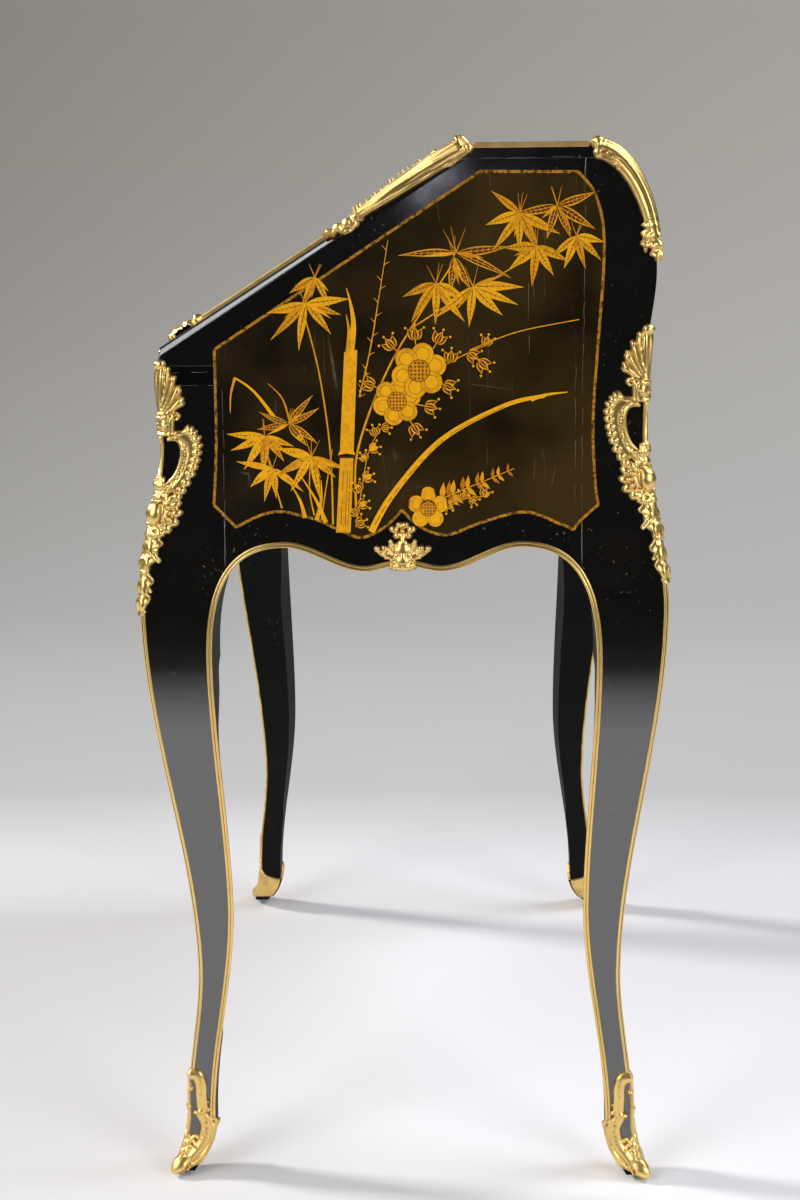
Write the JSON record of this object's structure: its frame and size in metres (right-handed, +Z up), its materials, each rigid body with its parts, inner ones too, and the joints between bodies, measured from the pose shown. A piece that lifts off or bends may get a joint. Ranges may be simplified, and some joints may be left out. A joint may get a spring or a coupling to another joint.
{
  "type": "slant-front desk",
  "caption": "Slant-front writing desk on cabriole legs, black lacquer with gilt mounts; hinged fall, lopers, interior drawers and well.",
  "frame": {"origin": "floor level under the middle of the desk", "axes": "+Z up, +X to the sitter's right, -Y towards the sitter"},
  "size_m": [0.691, 0.4647, 0.9503],
  "materials": {
    "black_lacquer": "polished black japanning",
    "gilt_bronze": "mercury-gilt cast bronze",
    "interior_wood": "waxed hardwood",
    "hinge_brass": "satin",
    "lock_steel": "filed",
    "writing_leather": "tooled skiver"
  },
  "bodies": {
    "case": {"leg_front_right": "black_lacquer", "leg_front_left": "black_lacquer", "leg_back_right": "black_lacquer", "leg_back_left": "black_lacquer", "side_panel_right": "black_lacquer", "side_panel_left": "black_lacquer", "front_apron": "black_lacquer", "back_panel": "black_lacquer", "strike_plate": "hinge_brass", "top_board": "black_lacquer", "case_bottom": "interior_wood", "loper_guide_right": "interior_wood", "loper_guide_left": "interior_wood", "writing_board": "interior_wood", "gallery_shelf": "interior_wood", "gallery_lower_dividers": "interior_wood", "gallery_upper_dividers": "interior_wood", "hinge_case_leaves": "hinge_brass", "hinge_pins": "hinge_brass", "apron_fillets_ends": "gilt_bronze", "apron_fillet_front": "gilt_bronze", "apron_fillet_back": "gilt_bronze", "leg_corner_fillets": "gilt_bronze", "sabot_front_right": "gilt_bronze", "sabot_front_left": "gilt_bronze", "sabot_back_right": "gilt_bronze", "sabot_back_left": "gilt_bronze", "chute_front_right": "gilt_bronze", "chute_front_left": "gilt_bronze", "chute_back_right": "gilt_bronze", "chute_back_left": "gilt_bronze", "apron_cartouches": "gilt_bronze", "slope_clasps": "gilt_bronze", "back_clasps": "gilt_bronze", "top_moulding": "gilt_bronze"},
    "fall_front": {"fall_board": "black_lacquer", "fall_leather": "writing_leather", "lock_case": "hinge_brass", "hinge_fall_leaves": "hinge_brass", "fall_moulding": "gilt_bronze", "fall_corner_mounts": "gilt_bronze", "fall_escutcheon": "gilt_bronze"},
    "lock_bolt": {"lock_bolt": "lock_steel"},
    "well_cover": {"well_cover": "interior_wood"},
    "loper_left": {"loper_left": "interior_wood", "loper_knob_left": "gilt_bronze"},
    "loper_right": {"loper_right": "interior_wood", "loper_knob_right": "gilt_bronze"},
    "drawer_left": {"drawer_front_left": "interior_wood", "drawer_box_left": "interior_wood", "drawer_knob_left": "gilt_bronze"},
    "drawer_middle": {"drawer_front_middle": "interior_wood", "drawer_box_middle": "interior_wood", "drawer_knob_middle": "gilt_bronze"},
    "drawer_right": {"drawer_front_right": "interior_wood", "drawer_box_right": "interior_wood", "drawer_knob_right": "gilt_bronze"}
  },
  "joints": [
    {"name": "fall_hinge", "type": "hinge", "parent": "case", "child": "fall_front", "pos_m": [0, -0.201, 0.762], "axis": [1, 0, 0], "range_deg": [0, 148]},
    {"name": "bolt_slide", "type": "slide", "parent": "fall_front", "child": "lock_bolt", "axis": [0, 0.848, 0.5299], "range_m": [0, 0.006]},
    {"name": "well_cover_slide", "type": "slide", "parent": "case", "child": "well_cover", "axis": [0, 1, 0], "range_m": [0, 0.11]},
    {"name": "loper_left_slide", "type": "slide", "parent": "case", "child": "loper_left", "axis": [0, -1, 0], "range_m": [0, 0.2]},
    {"name": "loper_right_slide", "type": "slide", "parent": "case", "child": "loper_right", "axis": [0, -1, 0], "range_m": [0, 0.2]},
    {"name": "drawer_left_slide", "type": "slide", "parent": "case", "child": "drawer_left", "axis": [0, -1, 0], "range_m": [0, 0.09]},
    {"name": "drawer_middle_slide", "type": "slide", "parent": "case", "child": "drawer_middle", "axis": [0, -1, 0], "range_m": [0, 0.09]},
    {"name": "drawer_right_slide", "type": "slide", "parent": "case", "child": "drawer_right", "axis": [0, -1, 0], "range_m": [0, 0.09]}
  ]
}
